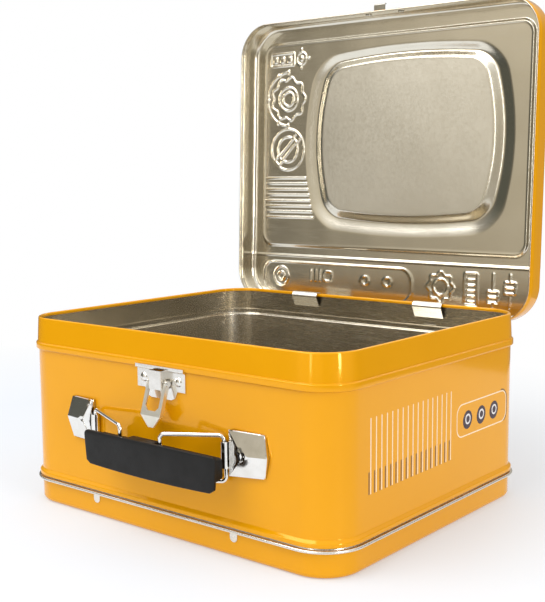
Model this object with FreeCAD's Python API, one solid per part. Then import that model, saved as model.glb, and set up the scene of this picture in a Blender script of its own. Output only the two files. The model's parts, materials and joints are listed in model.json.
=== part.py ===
"""Hinged metal lunch box: tinplate tub and lid, wire-ring handle, loop latch.

Millimetres.  Origin: centre of the bottom face.  +X along the front, +Y to the
hinge side, +Z up.  "Out" is a distance outward from the tub's wall face.
The lid is drawn closed, then turned about its hinge to the open rest pose.
"""
import FreeCAD, Part
import math
import os

V = FreeCAD.Vector

# ---- driving dimensions -------------------------------------------------
BOX_X, BOX_Y = 200.0, 170.0         # tub, wall face to wall face
BOX_R = 19.0                        # upright corner radius
RIM_Z = 97.0                        # top of the tub's rolled rim
SHEET = 0.35                        # tinplate thickness

PAN_TOP = 11.3                      # bottom pan's wall height
PAN_EDGE_R = 2.4                    # pan's lower edge
SHELL_BOTTOM = 13.6                 # tub wall starts above the seam ring
FOOT_BEAD = (14.2, 16.4, 18.2, 1.3)         # foot bead: low z, high z, end z, out
STEP_BEAD = (80.9, 83.6, 83.95, 1.175)      # step that the lid closes on
RING_LIP = 2.35                     # how far the seam ring stands out
RIM_ROLL = 1.8                      # width of the inward rolled rim

LID_OUT = 1.4                       # lid skirt's outer face, out
LID_HEM_IN = 0.7                    # hem's inner face, out
LID_BOTTOM = 84.1                   # closed lid's rim plane
LID_TOP = 99.2                      # closed lid's outer face
LID_EDGE_R = 3.2                    # lid's face-to-skirt bend
LID_HEM = 1.6                       # hem height
LID_OPEN = 92.0                     # opening angle

HINGE_OUT, HINGE_Z = 4.0, 86.1      # hinge axis
HINGE_X = 43.0                      # hinge centres, left and right
HINGE_WIDTH = 18.4
STRAP = 0.5                         # hinge strap thickness
KNUCKLE_R = 1.9
PIN_R = 1.0
RUNNING = 0.05                      # radial clearance of turning fits
MIDDLE_KNUCKLE = 7.8
KNUCKLE_GAP = 0.25

SCREEN_MID = 12.0                   # screen's centre along X
SCREEN_RIM = 1.9                    # how far the screen's frame is pressed outward

LATCH_X = 2.0                       # latch and catch sit right of the middle
LATCH_Z, LATCH_OUT = 74.5, 2.5      # latch pivot
LATCH_LEAN = 18.0                   # hanging link's lean from the wall
HUMP = (4.0, 71.6, 80.4, 5.0)       # latch bridge: half width, low z, high z, out
LATCH_PLATE = 0.7
LINK_SHEET = 0.8
LINK_HALF = 6.3
LINK_INNER = 4.3
LATCH_PIN_R = 0.9

WIRE_R = 1.0                        # handle ring wire
RING_LONG, RING_TALL, RING_R = 31.2, 20.8, 2.4      # ring centreline
RING_X, RING_OUT, RING_Z = 42.7, 2.1, 45.5          # ring pivot and mid height
RING_REST = 20.2                    # ring's angle from the wall
RING_DROOP = 3.2                    # ring hangs down in its loose barrel
BARREL = (41.2, 53.2, 1.95)         # bracket barrel: low z, high z, radius
BARREL_BORE = 1.4
# bracket cover by side: inner x, corner x, tip x, apex x, mid height
COVERS = {-1: (44.9, 60.8, 64.6, 50.2, 49.6), 1: (44.4, 64.6, 67.0, 53.2, 48.4)}

GRIP_X = 7.5                        # grip lies shifted along the rings
GRIP_HALF = 42.4
GRIP_BACK_HALF = 38.9
GRIP_GAP = 4.4                      # channel that the ring wires slide in
GRIP_FRONT, GRIP_BACK = 1.7, 2.0    # plate thicknesses
GRIP_TOP, GRIP_LOW, GRIP_BOW = 49.7, 33.6, 1.0
GRIP_BACK_Z = (37.5, 47.5)
GRIP_BLOCK = (-7.3, 10.6)           # centre block's low and high X
GRIP_POST = 4.4                     # width of the end posts

HALF_X, HALF_Y = BOX_X / 2, BOX_Y / 2
os.makedirs("parts", exist_ok=True)


def save(name, shape):
    """Write one node, and stop if its solid isn't sound."""
    if not shape.isValid() or shape.Volume <= 0:
        raise ValueError("bad solid: " + name)
    shape.exportStep("parts/" + name + ".step")
    print("%-24s solids %d  volume %.1f" % (name, len(shape.Solids), shape.Volume))


def box(x0, x1, y0, y1, z0, z1):
    return Part.makeBox(x1 - x0, y1 - y0, z1 - z0, V(x0, y0, z0))


def bar(radius, start, end):
    along = end - start
    return Part.makeCylinder(radius, along.Length, start, along)


def mirrored(shape):
    return shape.mirror(V(0, 0, 0), V(1, 0, 0))


# ---- sheet-metal sections -----------------------------------------------
def side_edges(points, radii, shift):
    """Edges of a bent line of points, shifted to its left, bends rounded."""
    steps = [(b - a).normalize() for a, b in zip(points, points[1:])]
    normals = [V(-s.y, s.x, 0) for s in steps]
    corners = [points[0] + normals[0] * shift]
    for here, n1, n2 in zip(points[1:-1], normals, normals[1:]):
        corners.append(here + (n1 + n2) * (shift / (1 + n1.dot(n2))))
    corners.append(points[-1] + normals[-1] * shift)
    edges, last = [], corners[0]
    for corner, s1, s2, radius in zip(corners[1:-1], steps, steps[1:], radii):
        turn = math.atan2(s1.cross(s2).z, s1.dot(s2))
        r = radius - shift * math.copysign(1, turn)
        if radius <= 0 or r <= 0.01:
            edges.append(Part.LineSegment(last, corner).toShape())
            last = corner
            continue
        half = abs(turn) / 2
        a = corner - s1 * (r * math.tan(half))
        b = corner + s2 * (r * math.tan(half))
        middle = corner + (s2 - s1).normalize() * (r / math.cos(half) - r)
        if (a - last).Length > 1e-6:
            edges.append(Part.LineSegment(last, a).toShape())
        edges.append(Part.Arc(a, middle, b).toShape())
        last = b
    edges.append(Part.LineSegment(last, corners[-1]).toShape())
    return edges, corners[0], corners[-1]


def strip_face(points, radii, thickness):
    """Flat face of a bent sheet's section: points (out, z) along its middle."""
    points = [V(a, b, 0) for a, b in points]
    left, left_start, left_end = side_edges(points, radii, thickness / 2)
    right, right_start, right_end = side_edges(points, radii, -thickness / 2)
    ends = [Part.LineSegment(left_end, right_end).toShape(),
            Part.LineSegment(right_start, left_start).toShape()]
    wire = Part.Wire(Part.__sortEdges__(left + right + ends))
    return Part.Face(wire)


def polygon_face(points):
    points = [V(a, b, 0) for a, b in points]
    return Part.Face(Part.makePolygon(points + points[:1]))


def upright(face):
    """Stand a section up: its first axis stays X, its second becomes Z."""
    turned = face.copy()
    turned.rotate(V(0, 0, 0), V(1, 0, 0), 90)
    return turned


def around(face, half_x, half_y, corner):
    """Carry an upright section (x = out) round a rounded rectangle."""
    kx, ky = half_x - corner, half_y - corner
    pieces = []
    stops = [(kx, ky, 2 * ky), (-kx, ky, 2 * kx), (-kx, -ky, 2 * ky), (kx, -ky, 2 * kx)]
    for quarter, (cx, cy, run) in enumerate(stops):
        angle = 90 * quarter
        section = face.copy()
        section.translate(V(corner, 0, 0))
        section.rotate(V(0, 0, 0), V(0, 0, 1), angle)
        section.translate(V(cx, cy, 0))
        a = math.radians(angle)
        pieces.append(section.extrude(V(math.sin(a), -math.cos(a), 0) * run))
        pieces.append(section.revolve(V(cx, cy, 0), V(0, 0, 1), 90))
    return pieces[0].multiFuse(pieces[1:]).removeSplitter()


def rounded_block(out, z0, z1, top_radius=0.0):
    """Solid of the tub's plan, grown by out, with its top edge rounded."""
    hx, hy, r = HALF_X + out, HALF_Y + out, BOX_R + out
    block = box(-hx, hx, -hy, hy, z0, z1)
    block = block.makeFillet(r, [e for e in block.Edges if is_upright(e)])
    if top_radius > 0:
        top = [e for e in block.Edges if e.BoundBox.ZMin > z1 - 0.01]
        block = block.makeFillet(top_radius, top)
    return block


def is_upright(edge):
    size = edge.BoundBox
    return size.ZLength > 0.1 and size.XLength < 0.01 and size.YLength < 0.01


def rivet(base, direction, grip, head_radius, head_height, tail=0.5, shank=1.2):
    """Domed rivet: base on the inner face, direction out through the sheets."""
    dome_r = (head_radius ** 2 + head_height ** 2) / (2 * head_height)
    dome = Part.makeSphere(dome_r, V(0, 0, grip + head_height - dome_r))
    span = 2 * head_radius
    dome = dome.common(box(-span, span, -span, span, grip, grip + head_height))
    solid = Part.makeCylinder(shank, grip + 0.2, V(0, 0, 0))
    solid = solid.fuse(dome)
    solid = solid.fuse(Part.makeCylinder(0.8 * head_radius, tail, V(0, 0, -tail)))
    solid = solid.removeSplitter()
    solid.Placement = FreeCAD.Placement(base, FreeCAD.Rotation(V(0, 0, 1), direction))
    return solid


def drilled(shape, places, direction, radius, reach=6.0):
    """Round holes through a sheet at each place."""
    for place in places:
        shape = shape.cut(bar(radius, place - direction * reach, place + direction * reach))
    return shape


# ---- places of the fasteners --------------------------------------------
OUTWARD = V(0, -1, 0)               # out of the front wall
BACKWARD = V(0, 1, 0)               # out of the hinge-side wall
LATCH_RIVETS = [V(LATCH_X + side * 11.2, -HALF_Y, 75.6) for side in (-1, 1)]
BRACKET_RIVETS = {side: [V(side * x, -HALF_Y, 48.9) for x in (50.4, 56.6)] for side in (-1, 1)}
CATCH_RIVETS = [V(LATCH_X + side * 11.2, -HALF_Y, 91.0) for side in (-1, 1)]
LEAF_RIVETS = {side: [V(side * HINGE_X + dx, HALF_Y, 93.6) for dx in (-5.5, 5.5)] for side in (-1, 1)}
SHANK_R = 1.2
HOLE_R = 1.22
SIDES = {"left": -1, "right": 1}


# ---- tub ----------------------------------------------------------------
def body_shell():
    mid = -SHEET / 2
    low, high, end, out = FOOT_BEAD
    step_low, step_high, step_end, step_out = STEP_BEAD
    top, roll = RIM_Z + mid, RIM_ROLL - SHEET / 2
    line = [(mid, SHELL_BOTTOM), (mid, low - 0.25), (out, low), (out, high), (mid, end),
            (mid, step_low - 0.6), (step_out, step_low), (step_out, step_high),
            (mid, step_end), (mid, top), (-roll, top), (-roll, top - 1.5),
            (-0.9, top - 1.5)]
    bends = [0.2, 0.35, 0.8, 0.9, 0.5, 0.4, 0.4, 0.35, 0.7, 0.7, 0.35]
    shell = around(upright(strip_face(line, bends, SHEET)), HALF_X, HALF_Y, BOX_R)
    holes = LATCH_RIVETS + BRACKET_RIVETS[-1] + BRACKET_RIVETS[1]
    return drilled(shell, holes, OUTWARD, HOLE_R)


def bottom_pan():
    mid = -SHEET / 2
    inset = 12.0
    line = [(mid, PAN_TOP), (mid, SHEET / 2), (-inset, SHEET / 2)]
    wall = around(upright(strip_face(line, [PAN_EDGE_R], SHEET)), HALF_X, HALF_Y, BOX_R)
    return wall.fuse(rounded_block(-inset, 0, SHEET)).removeSplitter()


def base_seam_ring():
    web_in, web_out = -0.5, 0.12
    lip_low, lip_high = PAN_TOP + 0.05, 13.3
    outline = [(web_in, PAN_TOP + 0.02), (RING_LIP - 0.5, lip_low), (RING_LIP, lip_low + 0.5),
               (RING_LIP, lip_high - 0.5), (RING_LIP - 0.5, lip_high), (web_out, lip_high),
               (web_out, SHELL_BOTTOM - 0.02), (web_in, SHELL_BOTTOM - 0.02)]
    return around(upright(polygon_face(outline)), HALF_X, HALF_Y, BOX_R)


def seam_tab(side, direction):
    """Rounded tab bent down from the seam ring over the pan's wall."""
    half, low, high, thick = 2.5, 6.3, PAN_TOP, 0.9
    x = side * 45.4
    tab = box(x - half, x + half, HALF_Y + 0.02, HALF_Y + thick, low + half, high)
    round_end = bar(half, V(x, HALF_Y + 0.02, low + half), V(x, HALF_Y + thick, low + half))
    tab = tab.fuse(round_end).removeSplitter()
    return tab if direction > 0 else tab.mirror(V(0, 0, 0), V(0, 1, 0))


# ---- hinges -------------------------------------------------------------
def across(face, width, x):
    """Section (out, z) at the hinge-side wall, made width wide about x."""
    shape = upright(face).extrude(V(0, width, 0))
    shape.rotate(V(0, 0, 0), V(0, 0, 1), 90)
    shape.translate(V(x + width / 2, HALF_Y, 0))
    return shape


def knuckle(x0, x1):
    return bar(KNUCKLE_R, V(x0, HALF_Y + HINGE_OUT, HINGE_Z), V(x1, HALF_Y + HINGE_OUT, HINGE_Z))


def hinge_bore(shape):
    y = HALF_Y + HINGE_OUT
    return shape.cut(bar(PIN_R + RUNNING, V(-BOX_X, y, HINGE_Z), V(BOX_X, y, HINGE_Z)))


def hinge_clip(x):
    """Strap hooked over the rim, its tongue curled into the middle knuckle."""
    leg, top = 0.32, RIM_Z + 0.3
    foot = HINGE_Z - KNUCKLE_R + STRAP / 2
    hook = [(-0.78, 88.9), (-3.9, 95.2), (-2.7, top), (leg, top), (leg, 90.0)]
    tongue = [(leg, 90.6), (leg, foot), (HINGE_OUT, foot)]
    clip = across(strip_face(hook, [1.2, 0.9, 0.45], STRAP), HINGE_WIDTH, x)
    clip = clip.fuse(across(strip_face(tongue, [0.45], STRAP), MIDDLE_KNUCKLE, x))
    half = MIDDLE_KNUCKLE / 2
    clip = clip.fuse(knuckle(x - half, x + half)).removeSplitter()
    return hinge_bore(clip)


def hinge_leaf(x):
    """Lid's leaf with the two outer knuckles, drawn with the lid closed."""
    plate, fall = LID_OUT + 0.02 + STRAP / 2, HINGE_OUT - KNUCKLE_R + STRAP / 2
    line = [(plate, 97.0), (plate, 89.8), (fall, 88.6), (fall, HINGE_Z)]
    leaf = across(strip_face(line, [0.6, 0.6], STRAP), HINGE_WIDTH, x)
    half, inner = HINGE_WIDTH / 2, MIDDLE_KNUCKLE / 2 + KNUCKLE_GAP
    leaf = leaf.fuse(knuckle(x - half, x + half)).removeSplitter()
    leaf = leaf.cut(box(x - inner, x + inner, HALF_Y, HALF_Y + 8, HINGE_Z - 4, 89.4))
    return drilled(hinge_bore(leaf), LEAF_RIVETS[1 if x > 0 else -1], BACKWARD, HOLE_R)


def hinge_pin(x):
    y, half, head = HALF_Y + HINGE_OUT, HINGE_WIDTH / 2, 0.5
    pin = bar(PIN_R, V(x - half - 0.1, y, HINGE_Z), V(x + half + 0.1, y, HINGE_Z))
    for end in (-1, 1):
        start = V(x + end * (half + 0.1), y, HINGE_Z)
        pin = pin.fuse(bar(1.5 * PIN_R, start, start + V(end * head, 0, 0)))
    return pin.removeSplitter()


# ---- lid ----------------------------------------------------------------
def opened(shape):
    """Turn a closed-lid shape to the open rest pose."""
    turned = shape.copy()
    turned.rotate(V(0, HALF_Y + HINGE_OUT, HINGE_Z), V(1, 0, 0), -LID_OPEN)
    return turned


def lid_outline(u0, u1, v0, v1, radius, z):
    """Rounded rectangle on the lid's face; v runs from the hinge to the front."""
    back = HALF_Y + LID_OUT
    face = Part.makePlane(u1 - u0, v1 - v0, V(u0, back - v1, z))
    block = face.extrude(V(0, 0, 1))
    block = block.makeFillet(radius, [e for e in block.Edges if is_upright(e)])
    bottom = min(block.Faces, key=lambda f: f.CenterOfMass.z)
    return bottom.OuterWire


def screen_frame(level):
    """Frame round the screen, pressed outward from the given level."""
    def outline(half, v0, v1, radius, z):
        return lid_outline(SCREEN_MID - half, SCREEN_MID + half, v0, v1, radius, z)

    crest = outline(64.3, 51.3, 150.7, 11, level + SCREEN_RIM)
    outer = Part.makeLoft([outline(71.2, 43.4, 155.5, 16, level), crest], True)
    return outer.cut(Part.makeLoft([outline(58.6, 56.0, 146.7, 8, level), crest], True))


def lid_shell():
    wall = LID_OUT - SHEET
    inner_top = LID_TOP - SHEET
    outside = rounded_block(LID_OUT, LID_BOTTOM, LID_TOP, LID_EDGE_R)
    outside = outside.fuse(screen_frame(LID_TOP))
    cavity = rounded_block(wall, LID_BOTTOM + LID_HEM, inner_top, LID_EDGE_R - SHEET)
    cavity = cavity.fuse(screen_frame(inner_top))
    lid = outside.cut(cavity).cut(rounded_block(LID_HEM_IN, LID_BOTTOM - 1, LID_BOTTOM + LID_HEM))
    notch = HINGE_WIDTH / 2 + 0.4
    for side in (-1, 1):
        x = side * HINGE_X
        lid = lid.cut(box(x - notch, x + notch, HALF_Y, HALF_Y + 3, LID_BOTTOM - 1, 88.6))
        lid = drilled(lid, LEAF_RIVETS[side], BACKWARD, HOLE_R, 4.0)
    return drilled(lid, CATCH_RIVETS, OUTWARD, HOLE_R, 4.0)


def catch_plate():
    """Keeper plate on the lid's front skirt, with the hook for the link."""
    mid = LID_OUT + 0.02 + STRAP / 2
    front = -HALF_Y - mid
    plate = box(LATCH_X - 15.5, LATCH_X + 15.5, front - STRAP / 2, front + STRAP / 2, 86.2, 95.8)
    plate = plate.makeFillet(1.5, [e for e in plate.Edges if e.BoundBox.YLength > 0.1
                                   and e.BoundBox.XLength < 0.01 and e.BoundBox.ZLength < 0.01])
    shelf = 85.6
    path = [(mid, 87.5), (mid, shelf), (5.2, shelf), (5.2, 86.9)]
    hook = across(strip_face(path, [0.35, 0.4], STRAP), 7.4, -LATCH_X)
    hook.rotate(V(0, 0, 0), V(0, 0, 1), 180)
    return drilled(plate.fuse(hook).removeSplitter(), CATCH_RIVETS, OUTWARD, HOLE_R)


# ---- latch --------------------------------------------------------------
def latch_plate():
    """Riveted plate with a pressed bridge for the pivot pin."""
    half, z0, z1, out = HUMP
    mid = 0.03 + LATCH_PLATE / 2
    over_bead = STEP_BEAD[3] + SHEET / 2 + 0.1 + LATCH_PLATE / 2
    sheet = across(strip_face([(mid, 66.7), (mid, 79.8), (over_bead, 80.5), (over_bead, 82.0)],
                              [0.5, 0.5], LATCH_PLATE), 31.0, 0)
    sheet.rotate(V(0, 0, 0), V(0, 0, 1), 180)
    tongue = [(-15.5, 83), (-15.5, 71), (-10.5, 71), (-9, 67.7), (-6.5, 66.7),
              (6.5, 66.7), (9, 67.7), (10.5, 71), (15.5, 71), (15.5, 83)]
    outline = upright(polygon_face(tongue)).extrude(V(0, -10, 0))
    outline.translate(V(0, 5 - HALF_Y, 0))
    plate = sheet.common(outline)
    front, inner = -HALF_Y - out, half - LATCH_PLATE
    bridge = box(-half, half, front, -HALF_Y - mid, z0, z1)
    hollow = box(-inner, inner, front + LATCH_PLATE, -HALF_Y + 1, z0, z1)
    bridge = bridge.makeFillet(0.6, [e for e in bridge.Edges if is_upright(e)
                                     and e.BoundBox.YMin < front + 0.1])
    plate = plate.fuse(bridge).cut(hollow).removeSplitter()
    y = -HALF_Y - LATCH_OUT
    plate = plate.cut(bar(LATCH_PIN_R + 0.02, V(-9, y, LATCH_Z), V(9, y, LATCH_Z)))
    plate.translate(V(LATCH_X, 0, 0))
    return drilled(plate, LATCH_RIVETS, OUTWARD, HOLE_R)


def latch_pin():
    y, end, head = -HALF_Y - LATCH_OUT, LINK_HALF + 0.1, 0.5
    pin = bar(LATCH_PIN_R, V(-end, y, LATCH_Z), V(end, y, LATCH_Z))
    for side in (-1, 1):
        start = V(side * end, y, LATCH_Z)
        pin = pin.fuse(bar(1.4 * LATCH_PIN_R, start, start + V(side * head, 0, 0)))
    pin.translate(V(LATCH_X, 0, 0))
    return pin.removeSplitter()


def latch_link():
    """Yoke whose rails straddle the bridge and whose bar hooks the catch.

    Drawn hanging straight down from the pivot at the origin, its face to -Y.
    """
    bar_start, shoulder, tip = 13.3, 15.6, 20.8
    bend, tip_y = 0.6, 1.8
    side, mouth, middle = LINK_HALF, LINK_INNER, LINK_SHEET / 2 + 0.1
    outline = [(-side, 1.4), (-side, -shoulder), (-1.6, -tip), (1.6, -tip), (side, -shoulder),
               (side, 1.4), (mouth, 1.4), (mouth, 1.8 - bar_start), (mouth - 1.8, -bar_start),
               (1.8 - mouth, -bar_start), (-mouth, 1.8 - bar_start), (-mouth, 1.4)]
    plan = upright(polygon_face(outline)).extrude(V(0, -12, 0))
    plan.translate(V(0, 6, 0))
    line = [(middle, 1.4), (middle, -shoulder), (middle - tip_y, -tip)]
    sheet = upright(strip_face(line, [bend], LINK_SHEET)).extrude(V(0, 2 * side, 0))
    sheet.rotate(V(0, 0, 0), V(0, 0, 1), -90)
    sheet.translate(V(-side, 0, 0))
    link = sheet.common(plan)
    for end in (-1, 1):
        x0, x1 = sorted((end * side, end * (side - LINK_SHEET)))
        flange = box(x0, x1, -middle, 1.2, -shoulder + 0.4, 0)
        ear = bar(1.4, V(x0, 0, 0), V(x1, 0, 0))
        link = link.fuse(flange).fuse(ear)
    link = link.removeSplitter().cut(bar(LATCH_PIN_R + RUNNING, V(-9, 0, 0), V(9, 0, 0)))
    link.rotate(V(0, 0, 0), V(1, 0, 0), -LATCH_LEAN)
    link.translate(V(LATCH_X, -HALF_Y - LATCH_OUT, LATCH_Z))
    return link


# ---- handle -------------------------------------------------------------
def bracket_base():
    """Right bracket's riveted strap, rolled into the ring's barrel."""
    z0, z1, r = BARREL
    y = -HALF_Y - RING_OUT
    plate = box(45.6, 59.2, -HALF_Y - 0.68, -HALF_Y - 0.03, 42.2, 55.7)
    neck = box(RING_X, 46.0, y + r - 0.75, y + r, z0, z1)
    barrel = bar(r, V(RING_X, y, z0), V(RING_X, y, z1))
    base = plate.fuse(neck.fuse(barrel)).removeSplitter()
    base = base.cut(bar(BARREL_BORE, V(RING_X, y, z0 - 5), V(RING_X, y, z1 + 5)))
    return drilled(base, BRACKET_RIVETS[1], OUTWARD, HOLE_R)


def hood(side, inset, back):
    """Faceted bracket cover as a closed solid, shrunk by inset."""
    x0, x1, x2, peak, zc = COVERS[side]
    tall, skirt = 10.2 - inset, 0.95
    x0, x1, x2 = x0 + inset, x1 - inset, x2 - inset
    apex = V(peak, 3.9 - 1.1 * inset, zc)
    tip = 2.3 - inset
    low = max(skirt - inset, 0.2)
    ring = [(x0, zc - tall, low), (x1, zc - tall, low), (x2, zc, tip),
            (x1, zc + tall, low), (x0, zc + tall, low)]
    base = [V(x, -back, z) for x, z, _ in ring]
    eaves = [V(x, out, z) for x, z, out in ring]
    faces = [base]
    for i in range(5):
        j = (i + 1) % 5
        faces.append([base[i], base[j], eaves[j], eaves[i]])
        faces.append([eaves[i], eaves[j], apex])
    solid = Part.makeSolid(Part.makeShell([Part.Face(Part.makePolygon(f + f[:1])) for f in faces]))
    solid = solid.mirror(V(0, 0, 0), V(0, 1, 0))
    solid.translate(V(0, -HALF_Y, 0))
    return solid if solid.Volume > 0 else solid.reversed()


def bracket_cover(side):
    """Pressed cover, drawn on the right, with an arched mouth for the barrel."""
    z0, z1, r = BARREL
    mouth_x, mouth_z, mouth_r = RING_X + r + 1.2, (z0 + z1) / 2, 5.2
    cover = hood(side, 0.0, -0.03).cut(hood(side, 0.5, 1.0))
    front = -HALF_Y - RING_OUT - r - 0.4
    slot = box(40, mouth_x, front, -HALF_Y + 1, z0 - 0.4, z1 + 0.4)
    arch = bar(mouth_r, V(mouth_x, front, mouth_z), V(mouth_x, -HALF_Y + 1, mouth_z))
    return cover.cut(slot).cut(arch)


def handle_ring(side):
    wire = Part.Face(Part.Wire(Part.makeCircle(WIRE_R, V(0, 0, 0), V(0, 1, 0))))
    ring = around(wire, RING_LONG / 2, RING_TALL / 2, RING_R)
    ring.translate(V(RING_LONG / 2, 0, 0))
    ring.rotate(V(0, (sum(BARREL[:2]) / 2 - RING_Z), 0), V(0, 0, 1), -RING_DROOP)
    ring.rotate(V(0, 0, 0), V(1, 0, 0), 90)
    angle = -RING_REST if side < 0 else 180 + RING_REST
    ring.rotate(V(0, 0, 0), V(0, 0, 1), angle)
    ring.translate(V(side * RING_X, -HALF_Y - RING_OUT, RING_Z))
    return ring


def grip_levels():
    """Out distances of the grip's back, channel and front faces."""
    wire = RING_OUT + RING_LONG * math.sin(math.radians(RING_REST))
    channel_in, channel_out = wire - GRIP_GAP / 2, wire + GRIP_GAP / 2
    return channel_in - GRIP_BACK, channel_in, channel_out, channel_out + GRIP_FRONT


def grip_front():
    """Outer half: bowed plate, centre block and end posts."""
    _, inner, outer, front = grip_levels()
    taper = 1.2
    left, right = -GRIP_HALF, GRIP_HALF
    corners = [V(left, 0, GRIP_TOP), V(right, 0, GRIP_TOP), V(right - taper, 0, GRIP_LOW)]
    bow = Part.Arc(corners[2], V(0, 0, GRIP_LOW - GRIP_BOW), V(left + taper, 0, GRIP_LOW)).toShape()
    edges = [Part.LineSegment(V(left + taper, 0, GRIP_LOW), corners[0]).toShape(),
             Part.LineSegment(corners[0], corners[1]).toShape(),
             Part.LineSegment(corners[1], corners[2]).toShape(), bow]
    plate = Part.Face(Part.Wire(edges)).extrude(V(0, outer - front, 0))
    corner_edges = [e for e in plate.Edges if e.BoundBox.YLength > 0.5 and e.BoundBox.XLength < 0.01]
    plate = plate.makeFillet(2.4, corner_edges)
    plate.translate(V(0, -outer, 0))
    z0, z1 = GRIP_BACK_Z
    block_low, block_high = (x - GRIP_X for x in GRIP_BLOCK)
    solids = [box(block_low, block_high, -outer, -inner, z0, GRIP_TOP)]
    for end in (-1, 1):
        x0, x1 = sorted((end * GRIP_BACK_HALF, end * (GRIP_BACK_HALF - GRIP_POST)))
        solids.append(box(x0 + 0.6, x1 - 0.6, -outer, -inner, z0, z1))
    grip = plate.multiFuse(solids).removeSplitter()
    grip.translate(V(GRIP_X, -HALF_Y, 0))
    return grip


def grip_back():
    """Inner half: plain rounded plate closed on the posts."""
    back, inner, _, _ = grip_levels()
    z0, z1 = GRIP_BACK_Z
    plate = box(-GRIP_BACK_HALF, GRIP_BACK_HALF, -inner, -back, z0, z1)
    corner_edges = [e for e in plate.Edges if e.BoundBox.YLength > 0.5]
    plate = plate.makeFillet(2.0, corner_edges)
    plate.translate(V(GRIP_X, -HALF_Y, 0))
    return plate


# ---- write every node ---------------------------------------------------
save("body_shell", body_shell())
save("bottom_pan", bottom_pan())
save("base_seam_ring", base_seam_ring())
for hand, side in SIDES.items():
    save("seam_tab_front_" + hand, seam_tab(side, -1))
    save("seam_tab_back_" + hand, seam_tab(side, 1))
    save("hinge_clip_" + hand, hinge_clip(side * HINGE_X))
    save("hinge_pin_" + hand, hinge_pin(side * HINGE_X))
    save("hinge_leaf_" + hand, opened(hinge_leaf(side * HINGE_X)))
    leaf_grip = SHEET + STRAP + 0.02
    leaf_rivets = [rivet(place + BACKWARD * (LID_OUT - SHEET), BACKWARD, leaf_grip, 2.0, 0.8, 0.25)
                   for place in LEAF_RIVETS[side]]
    save("leaf_rivets_" + hand, opened(Part.makeCompound(leaf_rivets)))
    bracket_rivets = [rivet(place - OUTWARD * SHEET, OUTWARD, SHEET + 0.68, 2.2, 0.9)
                      for place in BRACKET_RIVETS[side]]
    save("bracket_rivets_" + hand, Part.makeCompound(bracket_rivets))
    base, cover = bracket_base(), bracket_cover(side)
    save("bracket_base_" + hand, base if side > 0 else mirrored(base))
    save("bracket_cover_" + hand, cover if side > 0 else mirrored(cover))
    save("handle_ring_" + hand, handle_ring(side))
    place = LATCH_RIVETS[0 if side < 0 else 1]
    grip_length = SHEET + 0.03 + LATCH_PLATE
    save("latch_rivet_" + hand, rivet(place - OUTWARD * SHEET, OUTWARD, grip_length, 2.25, 0.9))
save("latch_plate", latch_plate())
save("latch_pin", latch_pin())
save("latch_link", latch_link())
save("lid_shell", opened(lid_shell()))
save("catch_plate", opened(catch_plate()))
catch_grip = SHEET + STRAP + 0.02
catch_rivets = [rivet(place + OUTWARD * (LID_OUT - SHEET), OUTWARD, catch_grip, 2.2, 0.9)
                for place in CATCH_RIVETS]
save("catch_rivets", opened(Part.makeCompound(catch_rivets)))
save("grip_front", grip_front())
save("grip_back", grip_back())
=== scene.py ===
import json
import math

import bpy
import numpy as np
from mathutils import Matrix, Vector


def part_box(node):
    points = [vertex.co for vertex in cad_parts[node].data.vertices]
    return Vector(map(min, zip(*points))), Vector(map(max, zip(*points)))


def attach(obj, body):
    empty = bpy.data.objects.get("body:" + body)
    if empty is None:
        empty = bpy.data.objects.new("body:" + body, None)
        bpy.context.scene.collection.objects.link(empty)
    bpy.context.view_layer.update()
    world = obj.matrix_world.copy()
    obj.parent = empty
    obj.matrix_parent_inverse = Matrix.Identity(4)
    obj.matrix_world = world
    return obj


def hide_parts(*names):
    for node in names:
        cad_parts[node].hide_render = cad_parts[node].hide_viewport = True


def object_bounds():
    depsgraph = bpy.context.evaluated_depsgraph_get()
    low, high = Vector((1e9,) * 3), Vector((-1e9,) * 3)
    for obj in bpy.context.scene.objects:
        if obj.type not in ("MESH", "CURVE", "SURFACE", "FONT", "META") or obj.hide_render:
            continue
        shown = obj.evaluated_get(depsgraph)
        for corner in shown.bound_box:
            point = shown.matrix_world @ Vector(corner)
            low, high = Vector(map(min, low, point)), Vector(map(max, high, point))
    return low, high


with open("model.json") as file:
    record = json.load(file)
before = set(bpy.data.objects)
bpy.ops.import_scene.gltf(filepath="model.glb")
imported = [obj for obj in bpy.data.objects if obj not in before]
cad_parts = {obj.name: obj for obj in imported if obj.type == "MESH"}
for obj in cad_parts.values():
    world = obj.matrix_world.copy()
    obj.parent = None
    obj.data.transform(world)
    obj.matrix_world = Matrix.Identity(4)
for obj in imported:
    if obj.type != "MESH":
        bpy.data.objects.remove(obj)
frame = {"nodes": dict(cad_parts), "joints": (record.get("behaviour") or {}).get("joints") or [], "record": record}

cad_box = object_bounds()
MM = 0.001


# ---- sizes, from the frame ----------------------------------------------
def cad(node):
    """Lowest and highest corner of a CAD node in millimetres."""
    low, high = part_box(node)
    return Vector(low) / MM, Vector(high) / MM


PAN_HIGH = cad("bottom_pan")[1]
HALF_X, HALF_Y = PAN_HIGH.x, PAN_HIGH.y
PAN_TOP = PAN_HIGH.z
SHELL_BOTTOM, RIM_Z = cad("body_shell")[0].z, cad("body_shell")[1].z
BOX_R = 19.0                        # corners of the tub's plan
SHEET = 0.35                        # tinplate
LID_JOINT = next(j for j in frame["joints"] if j["name"] == "lid_hinge")
HINGE = Vector(LID_JOINT["pos_m"]) / MM
LID_OPEN = LID_JOINT["range_deg"][1]
LID_OUT = 1.4                       # lid skirt's outer face, out
LID_BOTTOM = 84.1                   # closed lid's rim plane
LID_DEPTH = 14.75                   # rim plane to the face's inner side
LID_LENGTH = 2 * (HALF_Y + LID_OUT)
HINGE_X = 43.0                      # hinge centres, left and right
NOTCH_HALF = 9.6                    # the skirt is notched round each hinge
NOTCH_DEPTH = 4.5


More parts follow.
